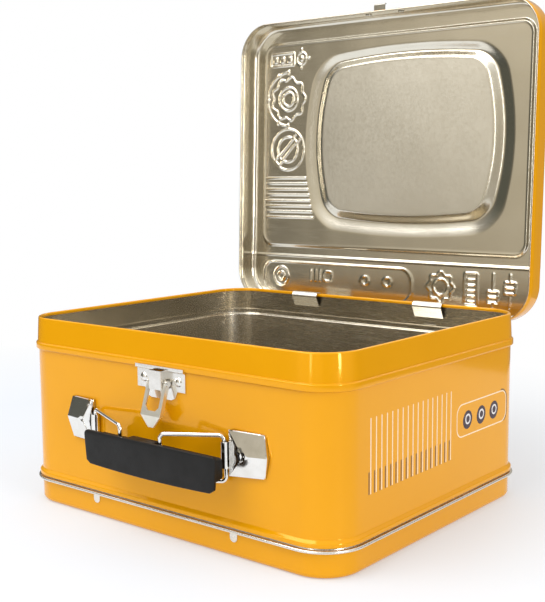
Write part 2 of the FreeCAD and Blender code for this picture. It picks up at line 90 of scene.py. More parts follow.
# ---- mesh helpers -------------------------------------------------------
def mesh_piece(name, verts, faces, materials, face_materials=None, sharp=35):
    """A mesh object from millimetre points, smooth apart from its sharp edges."""
    mesh = bpy.data.meshes.new(name)
    mesh.from_pydata([tuple(c * MM for c in v) for v in verts], [], faces)
    for material in materials:
        mesh.materials.append(material)
    if face_materials is not None:
        mesh.polygons.foreach_set("material_index", face_materials)
    mesh.polygons.foreach_set("use_smooth", [True] * len(mesh.polygons))
    mesh.set_sharp_from_angle(angle=math.radians(sharp))
    mesh.update()
    piece = bpy.data.objects.new(name, mesh)
    bpy.context.scene.collection.objects.link(piece)
    return piece


def bent_line(points, radii, shift, steps=6):
    """Points of a bent line shifted to its left, with its bends rounded."""
    points = [Vector(p) for p in points]
    along = [(b - a).normalized() for a, b in zip(points, points[1:])]
    normals = [Vector((-s.y, s.x)) for s in along]
    line = [points[0] + normals[0] * shift]
    bends = zip(points[1:-1], normals, normals[1:], along, along[1:], radii)
    for here, n1, n2, s1, s2, radius in bends:
        corner = here + (n1 + n2) * (shift / (1 + n1.dot(n2)))
        turn = math.atan2(s1.x * s2.y - s1.y * s2.x, s1.dot(s2))
        r = max(radius - shift * math.copysign(1, turn), 0.02)
        half = abs(turn) / 2
        centre = corner + (s2 - s1).normalized() * (r / math.cos(half))
        start = corner - s1 * (r * math.tan(half)) - centre
        for k in range(steps + 1):
            a = turn * k / steps
            line.append(centre + Vector((start.x * math.cos(a) - start.y * math.sin(a),
                                         start.x * math.sin(a) + start.y * math.cos(a))))
    line.append(points[-1] + normals[-1] * shift)
    return line


RUN_STEP, ARC_STEPS = 6.0, 20       # spacing along the walls, steps round a corner


def plan_path(stops=()):
    """Closed path round the tub's wall face: (x, y, normal x, normal y)."""
    kx, ky = HALF_X - BOX_R, HALF_Y - BOX_R
    path = []
    quarters = [(kx, ky), (-kx, ky), (-kx, -ky), (kx, -ky)]
    for quarter, (cx, cy) in enumerate(quarters):
        a0 = math.pi / 2 * quarter
        for k in range(ARC_STEPS + 1):
            a = a0 + math.pi / 2 * k / ARC_STEPS
            c, s = math.cos(a), math.sin(a)
            path.append((cx + BOX_R * c, cy + BOX_R * s, c, s))
        nx, ny = quarters[(quarter + 1) % 4]
        c, s = math.cos(a0 + math.pi / 2), math.sin(a0 + math.pi / 2)
        run = math.hypot(nx - cx, ny - cy)
        spans = round(run / RUN_STEP)
        places = set(run * k / spans for k in range(1, spans))
        if quarter == 0:
            places |= set(kx - x for x in stops)
        for t in sorted(places):
            path.append((cx + BOX_R * c + (nx - cx) * t / run, cy + BOX_R * s + (ny - cy) * t / run, c, s))
    return path


def swept(path, loop, loop_materials, gap=None):
    """Vertices, faces and materials of a closed section loop carried round a path."""
    verts, faces, mats = [], [], []
    n = len(loop)
    for x, y, nx, ny in path:
        verts += [(x + r * nx, y + r * ny, z) for r, z in loop]
    count = len(path)
    skipped = [bool(gap and gap(path[i], path[(i + 1) % count])) for i in range(count)]
    for i in range(count):
        j = (i + 1) % count
        if skipped[i]:
            continue
        for k in range(n):
            m = (k + 1) % n
            faces.append((i * n + k, j * n + k, j * n + m, i * n + m))
            mats.append(loop_materials[k])
    for i in range(count):
        if skipped[i] and not skipped[i - 1]:
            faces.append(tuple(i * n + k for k in range(n)))
            mats.append(loop_materials[0])
        if not skipped[i] and skipped[i - 1]:
            faces.append(tuple(i * n + k for k in reversed(range(n))))
            mats.append(loop_materials[0])
    return verts, faces, mats


def rounded_outline(u0, u1, v0, v1, radius, steps):
    """Closed outline of a rounded rectangle, anticlockwise."""
    outline = []
    corners = [(u1 - radius, v1 - radius), (u0 + radius, v1 - radius),
               (u0 + radius, v0 + radius), (u1 - radius, v0 + radius)]
    for quarter, (cu, cv) in enumerate(corners):
        for k in range(steps + 1):
            a = math.pi / 2 * (quarter + k / steps)
            outline.append((cu + radius * math.cos(a), cv + radius * math.sin(a)))
    return outline


def inset_outline(outline, depth):
    """A closed anticlockwise outline moved inward by depth."""
    count = len(outline)
    moved = []
    for i in range(count):
        p, here, q = Vector(outline[i - 1]), Vector(outline[i]), Vector(outline[(i + 1) % count])
        a, b = (here - p), (q - here)
        a = a.normalized() if a.length > 1e-6 else b.normalized()
        b = b.normalized() if b.length > 1e-6 else a
        na, nb = Vector((-a.y, a.x)), Vector((-b.y, b.x))
        moved.append(here + (na + nb) * (depth / max(1 + na.dot(nb), 0.4)))
    return moved


def slab(name, outline, near, far, place, material, edge, steps, crown=0.0):
    """A flat piece with rounded front edges; place(a, b, out) gives its 3-D points."""
    rings = [(0.0, far)]
    for k in range(steps + 1):
        a = math.pi / 2 * k / steps
        rings.append((edge * (1 - math.cos(a)), near - edge * (1 - math.sin(a))))
    rings.append((edge * 2.2, near + crown * 0.5))
    verts, faces = [], []
    count = len(outline)
    for inset, out in rings:
        ring = inset_outline(outline, inset) if inset else [Vector(p) for p in outline]
        verts += [place(p.x, p.y, out) for p in ring]
    for r in range(len(rings) - 1):
        for i in range(count):
            j = (i + 1) % count
            faces.append((r * count + i, r * count + j, (r + 1) * count + j, (r + 1) * count + i))
    faces.append(tuple(reversed(range(count))))
    faces.append(tuple(range((len(rings) - 1) * count, len(rings) * count)))
    return mesh_piece(name, verts, faces, [material])


def joined(name, pieces):
    """Several mesh pieces as one object."""
    verts, faces, mats, materials = [], [], [], []
    for piece in pieces:
        base = len(verts)
        verts += [v.co / MM for v in piece.data.vertices]
        for polygon in piece.data.polygons:
            material = piece.data.materials[polygon.material_index]
            if material not in materials:
                materials.append(material)
            faces.append([base + i for i in polygon.vertices])
            mats.append(materials.index(material))
        bpy.data.objects.remove(piece)
    return mesh_piece(name, verts, faces, materials, mats)


# ---- materials ----------------------------------------------------------
class Shader:
    """A short way to write a node material."""

    def __init__(self, name, **values):
        self.material = bpy.data.materials.new(name)
        self.material.use_nodes = True
        self.nodes = self.material.node_tree.nodes
        self.links = self.material.node_tree.links
        self.surface = self.nodes["Principled BSDF"]
        for key, value in values.items():
            self.surface.inputs[key.replace("_", " ")].default_value = value
        self.place = self.nodes.new("ShaderNodeTexCoord").outputs["Object"]

    def join(self, source, target):
        self.links.new(source, target)

    def stretched(self, scale):
        node = self.nodes.new("ShaderNodeMapping")
        node.inputs["Scale"].default_value = scale
        self.join(self.place, node.inputs["Vector"])
        return node.outputs["Vector"]

    def noise(self, scale, detail=3.0, vector=None, rough=0.5):
        node = self.nodes.new("ShaderNodeTexNoise")
        node.inputs["Scale"].default_value = scale
        node.inputs["Detail"].default_value = detail
        node.inputs["Roughness"].default_value = rough
        self.join(vector or self.place, node.inputs["Vector"])
        return node.outputs["Fac"]

    def spots(self, scale):
        node = self.nodes.new("ShaderNodeTexVoronoi")
        node.inputs["Scale"].default_value = scale
        self.join(self.place, node.inputs["Vector"])
        return node.outputs["Distance"]

    def spread(self, source, low, high, to_low, to_high):
        node = self.nodes.new("ShaderNodeMapRange")
        for key, value in zip(("From Min", "From Max", "To Min", "To Max"), (low, high, to_low, to_high)):
            node.inputs[key].default_value = value
        self.join(source, node.inputs["Value"])
        return node.outputs["Result"]

    def blend(self, factor, first, second):
        node = self.nodes.new("ShaderNodeMix")
        node.data_type = "RGBA"
        for index, colour in ((6, first), (7, second)):
            if isinstance(colour, tuple):
                node.inputs[index].default_value = (*colour, 1)
            else:
                self.join(colour, node.inputs[index])
        self.join(factor, node.inputs[0])
        return node.outputs[2]

    def length(self, source):
        node = self.nodes.new("ShaderNodeVectorMath")
        node.operation = "LENGTH"
        self.join(source, node.inputs[0])
        return node.outputs["Value"]

    def attribute(self, name):
        node = self.nodes.new("ShaderNodeAttribute")
        node.attribute_name = name
        return node.outputs["Fac"]

    def bump(self, height, distance, strength, below=None):
        node = self.nodes.new("ShaderNodeBump")
        node.inputs["Distance"].default_value = distance
        node.inputs["Strength"].default_value = strength
        self.join(height, node.inputs["Height"])
        if below:
            self.join(below, node.inputs["Normal"])
        return node.outputs["Normal"]

    def finish(self, colour=None, roughness=None, normal=None):
        for source, key in ((colour, "Base Color"), (roughness, "Roughness"), (normal, "Normal")):
            if source:
                self.join(source, self.surface.inputs[key])
        return self.material


def lacquer(name, light, deep, decorate=None):
    """Gloss stoving lacquer that the tin shines through: faint orange peel and slow waviness."""
    s = Shader(name, Metallic=0.14, Coat_Weight=0.19, Coat_Roughness=0.03, Specular_IOR_Level=0.2)
    colour = s.blend(s.spread(s.noise(14, 4), 0.35, 0.65, 0, 1), light, deep)
    if decorate:
        colour = decorate(s, colour)
    rough = s.spread(s.noise(260, 3), 0.3, 0.7, 0.06, 0.14)
    wave = s.bump(s.noise(16, 2), 0.0012, 0.3)
    return s.finish(colour, rough, s.bump(s.noise(900, 2), 0.00003, 0.4, wave))


def television(s, paint):
    """Print on the lid's outside: dark screen, cream frame and brown lines."""
    framed = s.blend(s.spread(s.attribute("frame_gap"), -0.7, -0.5, 1, 0), paint, (0.8, 0.66, 0.43))
    screened = s.blend(s.spread(s.attribute("screen_gap"), 0.9, 1.1, 1, 0), framed, (0.022, 0.027, 0.03))
    return s.blend(s.spread(s.attribute("line_gap"), 0.55, 0.7, 1, 0), screened, (0.07, 0.03, 0.012))


def tinplate(name, light, dark, roughness=0.2, waviness=0.5, satin=None):
    """Bare rolled tinplate: fine rolling lines, slow waves and faint stains."""
    s = Shader(name, Metallic=1.0)
    lines = s.noise(90, 4, s.stretched((1.0, 22.0, 22.0)), 0.6)
    stains = s.spread(s.noise(22, 5), 0.35, 0.7, 0, 1)
    rough = s.spread(lines, 0.3, 0.7, roughness, roughness + 0.1)
    if satin:
        rough = satin(s, rough)
    wave = s.bump(s.noise(20, 2), 0.0012, waviness)
    return s.finish(s.blend(stains, light, dark), rough, s.bump(lines, 0.00002, 0.5, wave))


def stretched_screen(s, rough):
    """The screen is stretched more in the press, which leaves it satin."""
    grain = s.spread(s.noise(600, 3), 0.3, 0.7, 0.36, 0.44)
    node = s.nodes.new("ShaderNodeMix")
    s.join(s.spread(s.attribute("screen_gap"), -1.5, 0.5, 1, 0), node.inputs[0])
    s.join(rough, node.inputs[2])
    s.join(grain, node.inputs[3])
    return node.outputs[0]


def bright_metal(name, light, dark, roughness=0.07):
    """Nickel-plated pressed steel: near mirror, faint handling marks."""
    s = Shader(name, Metallic=1.0)
    marks = s.noise(420, 5, s.stretched((1.0, 1.0, 6.0)), 0.7)
    rough = s.spread(marks, 0.35, 0.75, roughness, roughness + 0.12)
    wave = s.bump(s.noise(90, 2), 0.0003, 0.2)
    return s.finish(s.blend(s.spread(s.noise(130, 3), 0.4, 0.7, 0, 1), light, dark), rough,
                    s.bump(marks, 0.000012, 0.4, wave))


def moulded(name, light, dark):
    """Satin moulded plastic with a fine spark-eroded grain."""
    s = Shader(name, Specular_IOR_Level=0.2)
    grain = s.spots(1500)
    rough = s.spread(s.noise(300, 4), 0.3, 0.7, 0.36, 0.52)
    colour = s.blend(s.spread(s.noise(60, 4), 0.35, 0.7, 0, 1), light, dark)
    return s.finish(colour, rough, s.bump(grain, 0.00005, 0.45))


def printed(name, light, dark):
    """Screen-printed ink on the lacquer, slightly uneven."""
    s = Shader(name, Coat_Weight=0.2, Coat_Roughness=0.06, Specular_IOR_Level=0.3)
    colour = s.blend(s.spread(s.noise(700, 3), 0.4, 0.7, 0, 1), light, dark)
    return s.finish(colour, s.spread(s.noise(500, 2), 0.3, 0.7, 0.25, 0.38),
                    s.bump(s.noise(1200, 2), 0.00002, 0.5))


ORANGE_LIGHT, ORANGE_DEEP = (0.84, 0.375, 0.003), (0.8, 0.35, 0.002)
ORANGE = lacquer("orange_lacquer", ORANGE_LIGHT, ORANGE_DEEP)
LID_PAINT = lacquer("lid_lacquer", ORANGE_LIGHT, ORANGE_DEEP, decorate=television)
TIN = tinplate("bare_tin_inside", (0.74, 0.69, 0.59), (0.66, 0.61, 0.51))
LID_TIN = tinplate("bare_tin_lid", (0.78, 0.73, 0.62), (0.71, 0.66, 0.55), 0.13, 0.35, stretched_screen)
SEAM = tinplate("bare_tin_seam", (0.84, 0.81, 0.74), (0.74, 0.71, 0.64), 0.2, 0.2)
NICKEL = bright_metal("bright_nickel", (0.88, 0.86, 0.82), (0.78, 0.76, 0.71))
SATIN_NICKEL = bright_metal("satin_nickel", (0.86, 0.83, 0.78), (0.76, 0.73, 0.67), 0.15)
CATCH_NICKEL = bright_metal("catch_nickel", (0.56, 0.54, 0.49), (0.46, 0.44, 0.4), 0.12)
# The latch link's nickel is a lighter, creamier copy of the nickel: painted sheen for the light its legs catch.
LIT_LINK_NICKEL = bright_metal("lit_link_nickel", (0.93, 0.89, 0.8), (0.86, 0.82, 0.72), 0.34)
BLACK = moulded("black_plastic", (0.013, 0.0125, 0.012), (0.009, 0.0085, 0.008))
CREAM = printed("cream_ink", (0.97, 0.78, 0.54), (0.92, 0.72, 0.48))
SHADE = printed("shade_ink", (0.24, 0.11, 0.02), (0.2, 0.09, 0.016))
PLUM = printed("plum_ink", (0.045, 0.02, 0.035), (0.03, 0.014, 0.024))
PALE = printed("pale_ink", (0.82, 0.8, 0.8), (0.72, 0.7, 0.7))


# ---- tub ----------------------------------------------------------------
def tub_shell():
    """Wall sheet: foot bead, step bead and rolled rim, lacquered outside."""
    mid = -SHEET / 2
    # (out, height) up the sheet's middle: foot bead, wall, step bead, neck and rolled rim
    line = [(mid, SHELL_BOTTOM), (mid, 13.95), (1.25, 14.2), (1.25, 15.9), (mid, 17.2),
            (mid, 80.3), (1.175, 80.9), (1.175, 83.6), (0.35, 84.0),
            (-0.35, RIM_Z + mid), (-1.625, RIM_Z + mid), (-1.625, RIM_Z - 1.68), (-0.9, RIM_Z - 1.68)]
    bends = [0.2, 0.35, 0.7, 0.7, 0.5, 0.4, 0.4, 0.35, 0.7, 0.7, 0.35]
    inner = bent_line(line, bends, SHEET / 2)
    outer = bent_line(line, bends, -SHEET / 2)
    loop = outer + inner[::-1]
    mats = [0] * len(outer) + [1] * len(inner)
    verts, faces, mats = swept(plan_path(), loop, mats)
    piece = mesh_piece("tub_shell", verts, faces, [ORANGE, TIN], mats)
    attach(piece, "tub")
    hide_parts("body_shell")


SEAM_LOW = PAN_TOP + 0.5
SEAM_HIGH, SEAM_OUT, SEAM_EDGE_R = 13.25, 2.3, 0.65
PAN_EDGE_R = 2.4


def tub_pan():
    """Bottom pan with a rounded lower edge and a flat floor."""
    mid, inner_r = -SHEET / 2, -15.0
    line = [(mid, SEAM_LOW), (mid, SHEET / 2), (inner_r, SHEET / 2)]
    outer = bent_line(line, [PAN_EDGE_R], SHEET / 2, 10)
    inner = bent_line(line, [PAN_EDGE_R], -SHEET / 2, 10)
    loop = inner + outer[::-1]
    path = plan_path()
    dropped = 2                     # the band round the opening that the two floors close
    mats = [1] * (len(inner) - 1) + [dropped] + [0] * len(outer)
    verts, faces, mats = swept(path, loop, mats)
    keep = [(f, m) for f, m in zip(faces, mats) if m != dropped]
    n, low, high = len(loop), len(inner), len(inner) - 1
    keep.append((tuple(i * n + high for i in range(len(path))), 1))
    keep.append((tuple(i * n + low for i in reversed(range(len(path)))), 0))
    piece = mesh_piece("tub_pan", verts, [f for f, _ in keep], [ORANGE, TIN], [m for _, m in keep])
    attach(piece, "tub")
    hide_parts("bottom_pan")


def seam_ring():
    """Bare rolled seam between wall and pan."""
    low, high, out, r = SEAM_LOW + 0.02, SEAM_HIGH, SEAM_OUT, SEAM_EDGE_R
    loop = [(-0.5, low), (out - r, low)]
    for k in range(1, 8):
        a = -math.pi / 2 + math.pi * k / 8
        loop.append((out - r + r * math.cos(a), (low + high) / 2 + (high - low) / 2 * math.sin(a)))
    loop += [(out - r, high), (0.12, high), (0.12, SHELL_BOTTOM - 0.02), (-0.5, SHELL_BOTTOM - 0.02)]
    verts, faces, mats = swept(plan_path(), loop, [0] * len(loop))
    piece = mesh_piece("seam_ring", verts, faces, [SEAM], mats)
    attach(piece, "tub")
    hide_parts("base_seam_ring")


def seam_tab(hand, face, sign):
    """Round-ended tab bent down from the seam ring, domed a little."""
    node = "seam_tab_%s_%s" % (face, hand)
    low, high = cad(node)
    half, top = (high.x - low.x) / 2 - 0.35, SEAM_LOW + 0.1
    middle, bottom = (low.x + high.x) / 2, low.z + 0.9
    outline = [(middle + half, top), (middle - half, top)]
    for k in range(9):
        a = math.pi + math.pi * k / 8
        outline.append((middle + half * math.cos(a), bottom + half + half * math.sin(a)))

    def place(a, b, out):
        return a * sign + (1 - sign) * middle, sign * -(HALF_Y + out), b

    piece = slab("tab_%s_%s" % (face, hand), outline, 0.65, 0.02, place, SEAM, 0.3, 4, 0.15)
    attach(piece, "tub")
    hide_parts(node)


# ---- lid ----------------------------------------------------------------
LID_PLACE = (Matrix.Translation(HINGE) @ Matrix.Rotation(-math.radians(LID_OPEN), 4, "X")
             @ Matrix.Translation(Vector((0, HALF_Y + LID_OUT, LID_BOTTOM)) - HINGE))


def lid_point(u, v, d):
    """Rest place of a lid point."""
    return LID_PLACE @ Vector((u, -v, d))


def smooth(t):
    """Soft step from 0 to 1."""
    t = np.clip(t, 0, 1)
    return t * t * (3 - 2 * t)


def ridge(distance, width, height):
    """Rounded ridge along a line that is distance away."""
    return height * 0.5 * (1 + np.cos(np.pi * np.clip(np.abs(distance) / (width / 2), 0, 1)))


def from_box(u, v, u0, u1, v0, v1, radius):
    """Signed distance from a rounded rectangle's edge, negative inside."""
    qu = np.abs(u - (u0 + u1) / 2) - (u1 - u0) / 2 + radius
    qv = np.abs(v - (v0 + v1) / 2) - (v1 - v0) / 2 + radius
    return np.minimum(np.maximum(qu, qv), 0) + np.hypot(np.maximum(qu, 0), np.maximum(qv, 0)) - radius


def from_tube(u, v, u0, u1, v0, v1, radius):
    """The same for a picture-tube shape, whose sides bow outward."""
    a, b = (u1 - u0) / 2, (v1 - v0) / 2
    x, y = (u - (u0 + u1) / 2) / a, (v - (v0 + v1) / 2) / b
    x, y = x / (1 - 0.15 * np.clip(y * y, 0, 1.3)), y / (1 - 0.1 * np.clip(x * x, 0, 1.3))
    return from_box(x * a, y * b, -a, a, -b, b, radius)


def from_line(u, v, u0, v0, u1, v1):
    """Distance from a straight stroke."""
    du, dv = u1 - u0, v1 - v0
    t = np.clip(((u - u0) * du + (v - v0) * dv) / (du * du + dv * dv), 0, 1)
    return np.hypot(u - u0 - t * du, v - v0 - t * dv)


def from_ring(u, v, cu, cv, radius, lobes=0, lobe=0.0):
    """Distance from a circle, or from a scalloped circle."""
    angle = np.arctan2(v - cv, u - cu)
    return np.abs(np.hypot(u - cu, v - cv) - radius - lobe * np.cos(lobes * angle))


LINE_WIDTH, LINE_HEIGHT = 1.7, 0.6
# outlines of the picture: low u, high u, low v, high v, corner radius
SCREEN = (-46.6, 70.6, 56.0, 146.7, 8.5)
CREST = (-52.3, 76.3, 51.3, 150.7, 11.0)
FRAME = (-59.2, 83.2, 43.4, 155.5, 16.0)
PANEL = (-92.5, 92.0, 36.0, 161.5, 7.0)
STRIP_TOP = 29.2                    # upper edge of the lower strip
FRAME_DEPTH = 1.9                   # the frame's groove, below the picture's panel
SCREEN_RISE, SCREEN_CROWN = 0.2, 0.5
SCREEN_MID, SCREEN_HALF = (12.0, 101.35), (58.6, 45.3)
PANEL_RISE = 0.7
NO_LINE = 9.0                       # a distance that presses nothing


def strokes(u, v):
    """Distance from the nearest thin pressed line of the picture."""
    # channel counter with three solid cells, and the small knob beside it
    lines = [np.abs(from_box(u, v, -88.0, -69.3, 148.3, 155.8, 0.6))]
    for cell in (-84.2, -78.6, -73.0):
        lines.append(np.maximum(from_box(u, v, cell - 1.2, cell + 1.2, 150.7, 153.4, 0.3), 0))
    lines.append(from_ring(u, v, -63.6, 152.0, 3.7))
    lines.append(np.maximum(np.hypot(u + 63.6, v - 152.0) - 1.1, 0))
    for a in (-90, 0, 90):
        c, s = math.cos(math.radians(a)), math.sin(math.radians(a))
        lines.append(from_line(u, v, -63.6 + 5.2 * c, 152 + 5.2 * s, -63.6 + 6.0 * c, 152 + 6.0 * s))
    # scalloped dial inside an arc with five ticks
    dial = (-73.5, 127.5)
    lines.append(from_ring(u, v, *dial, 12.6, 9, 1.0))
    lines.append(from_ring(u, v, *dial, 7.2))
    lines.append(from_ring(u, v, *dial, 4.3))
    around = np.arctan2(v - dial[1], u - dial[0])
    arc = from_ring(u, v, *dial, 16.6)
    lines.append(np.where(np.abs(around) > math.radians(88), arc, NO_LINE))
    for a in (90, 118, 180, 242, 270):
        c, s = math.cos(math.radians(a)), math.sin(math.radians(a))
        lines.append(from_line(u, v, dial[0] + 15.4 * c, dial[1] + 15.4 * s,
                               dial[0] + 17.6 * c, dial[1] + 17.6 * s))
    # round tuner with a slanted bar
    tuner = (-73.5, 96.0)
    lines.append(from_ring(u, v, *tuner, 12.8))
    bar = math.radians(45)
    across = (u - tuner[0]) * math.cos(bar) - (v - tuner[1]) * math.sin(bar)
    along = (u - tuner[0]) * math.sin(bar) + (v - tuner[1]) * math.cos(bar)
    ring = from_ring(u, v, *tuner, 7.8)
    lines.append(np.where(np.abs(across) > 1.6, ring, NO_LINE))
    for offset in (-1.6, 1.6):
        lines.append(np.maximum(np.abs(across - offset), np.abs(along) - 8.4))
    for end in (-1, 1):
        lines.append(np.abs(from_box(across, along - end * 10.0, -2.3, 2.3, -1.9, 1.9, 0.5)))
    # speaker lines
    for k in range(8):
        level = 78.2 - 3.52 * k
        lines.append(from_line(u, v, -90.3, level, -58.8 + 0.85 * k, level))
    # lower strip: panel with a knob, generic marks and two buttons
    lines.append(np.abs(from_box(u, v, -91.5, 20.5, 4.8, 25.2, 8.0)))
    lines.append(from_ring(u, v, -77.0, 16.0, 5.8))
    lines.append(from_ring(u, v, -77.0, 16.0, 2.6))
    for mark in (-53.0, -49.5, -46.0):
        lines.append(from_line(u, v, mark, 14.2, mark, 20.8))
    lines.append(np.abs(from_box(u, v, -43.2, -37.0, 14.6, 20.4, 1.8)))
    for knob in (-12.5, 3.5):
        lines.append(from_ring(u, v, knob, 16.6, 2.5))
    # lower strip: scalloped knob, stack of bars and two sliders
    lines.append(from_ring(u, v, 40.0, 16.0, 8.0, 8, 0.8))
    lines.append(from_ring(u, v, 40.0, 16.0, 4.6))
    lines.append(np.abs(from_box(u, v, 55.5, 63.5, 7.0, 25.0, 0.8)))
    for level in (21.3, 18.2, 15.1, 12.0, 8.9):
        lines.append(from_line(u, v, 57.3, level, 61.7, level))
    for track, low, high in ((73.2, 9.3, 15.7), (83.5, 14.8, 21.2)):
        lines.append(from_line(u, v, track, 7.0, track, low))
        lines.append(from_line(u, v, track, high, track, 25.5))
        lines.append(np.abs(from_box(u, v, track - 3.2, track + 3.2, low, high, 0.5)))
        lines.append(from_line(u, v, track - 3.0, (low + high) / 2, track + 3.0, (low + high) / 2))
    return np.minimum.reduce([np.broadcast_to(line, u.shape) for line in lines])


def crisp(t):
    """A nearly straight slope with softened ends."""
    return 0.6 * np.clip(t, 0, 1) + 0.4 * smooth(t)


def relief(u, v):
    """Height of the pressed picture towards the inside of the lid."""
    frame_d, crest_d, screen_d = (from_tube(u, v, *shape) for shape in (FRAME, CREST, SCREEN))
    inside_frame, past_crest = np.clip(-frame_d, 0, None), np.clip(screen_d, 0, None)
    fall = np.where(crest_d > 0, inside_frame / (inside_frame + crest_d + 1e-6), 1)
    rise = np.where(crest_d <= 0, 1 - past_crest / (past_crest - crest_d + 1e-6), 0)
    height = -FRAME_DEPTH * crisp(fall) + (FRAME_DEPTH + SCREEN_RISE) * crisp(rise)
    x, y = ((at - mid) / half for at, mid, half in zip((u, v), SCREEN_MID, SCREEN_HALF))
    height += SCREEN_CROWN * np.where(screen_d < 0, np.clip(1 - x * x, 0, 1) * np.clip(1 - y * y, 0, 1), 0)
    panel_d = from_box(u, v, *PANEL)
    height += PANEL_RISE * smooth((1.4 - panel_d) / 2.2) + ridge(panel_d, 2.2, 0.55)
    strip_d = v - STRIP_TOP
    height += PANEL_RISE * smooth((0.8 - strip_d) / 1.6) + ridge(strip_d, 2.0, 0.4)
    return height + ridge(strokes(u, v), LINE_WIDTH, LINE_HEIGHT)


def spaced(stops):
    """Grid lines: stops are (start, step, end) stretches laid end to end."""
    lines = []
    for start, step, end in stops:
        count = max(round((end - start) / step), 1)
        lines += [start + (end - start) * k / count for k in range(count)]
    return np.array(lines + [stops[-1][2]])


FAR_GAP = 20.0                      # on the skirt, which has no picture
BEND_R = 2.85                       # face-to-skirt bend, inside
WALL_IN = LID_OUT - SHEET           # skirt's inner face, out
FACE_X = HALF_X + WALL_IN - BEND_R
FACE_V0, FACE_V1 = SHEET + BEND_R, LID_LENGTH - SHEET - BEND_R
FACE_R = BOX_R + WALL_IN - BEND_R
NOTCHES = [(side * HINGE_X - NOTCH_HALF, side * HINGE_X + NOTCH_HALF) for side in (-1, 1)]


def face_grid():
    """Grid of the lid's face, its corner cells pushed onto the rounded corners."""
    columns = spaced([(-FACE_X, 0.6, -92), (-92, 0.5, NOTCHES[0][0]), (NOTCHES[0][0], 0.7, NOTCHES[0][1]),
                      (NOTCHES[0][1], 0.9, NOTCHES[1][0]), (NOTCHES[1][0], 0.6, NOTCHES[1][1]),
                      (NOTCHES[1][1], 0.6, FACE_X)])
    rows = spaced([(FACE_V0, 0.5, 31), (31, 0.8, 48), (48, 0.55, FACE_V1)])
    u, v = np.meshgrid(columns, rows)
    cu = np.sign(u) * (FACE_X - FACE_R)
    cv = np.where(v < LID_LENGTH / 2, FACE_V0 + FACE_R, FACE_V1 - FACE_R)
    in_corner = (np.abs(u) > FACE_X - FACE_R) & (np.abs(v - LID_LENGTH / 2) > np.abs(cv - LID_LENGTH / 2))
    reach = np.maximum(np.hypot(u - cu, v - cv), 1e-9)
    pushed = in_corner & (reach > FACE_R)
    shrink = np.where(pushed, FACE_R / reach, 1.0)
    return np.where(pushed, cu + (u - cu) * shrink, u), np.where(pushed, cv + (v - cv) * shrink, v), pushed


def lid_shell():
    """The drawn lid: pressed face, bend and skirt as one sheet."""
    u, v, pushed = face_grid()
    rows, cols = u.shape
    d = LID_DEPTH - relief(u, v) * smooth((FACE_X + 3 - np.abs(u)) / 6)
    verts = [Vector(p) for p in zip(u.ravel(), v.ravel(), d.ravel())]
    faces = []
    flat = pushed.ravel()
    for r in range(rows - 1):
        for c in range(cols - 1):
            quad = (r * cols + c, r * cols + c + 1, (r + 1) * cols + c + 1, (r + 1) * cols + c)
            if not all(flat[i] for i in quad):
                faces.append(quad)
    rim = boundary(faces)
    # rings round the bend and down the skirt: how far out from the face's edge, and how far down
    rings = [(BEND_R * math.sin(a), BEND_R * (1 - math.cos(a))) for a in np.linspace(0.26, math.pi / 2, 6)]
    rings += [(BEND_R, LID_DEPTH - NOTCH_DEPTH), (BEND_R, LID_DEPTH - 0.4)]
    last = rim
    for out, fall in rings:
        ring = []
        for i in rim:
            nu, nv = edge_normal(verts[i].x, verts[i].y)
            ring.append(len(verts))
            base = verts[i]
            depth = base.z + (LID_DEPTH - base.z) * min(fall / BEND_R, 1) - fall
            verts.append(Vector((base.x + nu * out, base.y + nv * out, depth)))
        for k in range(len(rim)):
            j = (k + 1) % len(rim)
            quad = (last[j], last[k], ring[k], ring[j])
            middle = sum((verts[i] for i in quad), Vector()) / 4
            in_notch = middle.z < NOTCH_DEPTH and middle.y < 3 and any(a < middle.x < b for a, b in NOTCHES)
            if not in_notch:
                faces.append(quad)
        last = ring
    placed = [lid_point(*p) for p in verts]
    piece = mesh_piece("lid_shell_pressed", placed, faces, [LID_TIN, LID_PAINT], sharp=60)
    gaps = {"frame_gap": from_tube(u, v, *FRAME), "screen_gap": from_tube(u, v, *SCREEN),
            "line_gap": strokes(u, v)}
    for name, gap in gaps.items():
        values = np.full(len(verts), FAR_GAP)
        values[:gap.size] = gap.ravel()
        piece.data.attributes.new(name, "FLOAT", "POINT").data.foreach_set("value", values)
    weld = piece.modifiers.new("weld", "WELD")
    weld.merge_threshold = 0.05 * MM
    sheet = piece.modifiers.new("sheet", "SOLIDIFY")
    sheet.thickness = SHEET * MM
    sheet.offset = -1
    sheet.material_offset = 1
    sheet.material_offset_rim = 1
    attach(piece, "lid")
    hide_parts("lid_shell")


def boundary(faces):
    """Indices of the outer edge of a sheet of faces, in order."""
    edges = set()
    for face in faces:
        for a, b in zip(face, face[1:] + face[:1]):
            if (b, a) in edges:
                edges.remove((b, a))
            else:
                edges.add((a, b))
    following = dict(edges)
    start = min(following)
    loop, here = [start], following[start]
    while here != start:
        loop.append(here)
        here = following[here]
    return loop


def edge_normal(u, v):
    """Outward direction of the lid's plan at a point of its face's edge."""
    ku = FACE_X - FACE_R
    kv = LID_LENGTH / 2 - FACE_V0 - FACE_R
    du = max(abs(u) - ku, 0) * math.copysign(1, u)
    dv = max(abs(v - LID_LENGTH / 2) - kv, 0) * math.copysign(1, v - LID_LENGTH / 2)
    length = math.hypot(du, dv)
    return du / length, dv / length


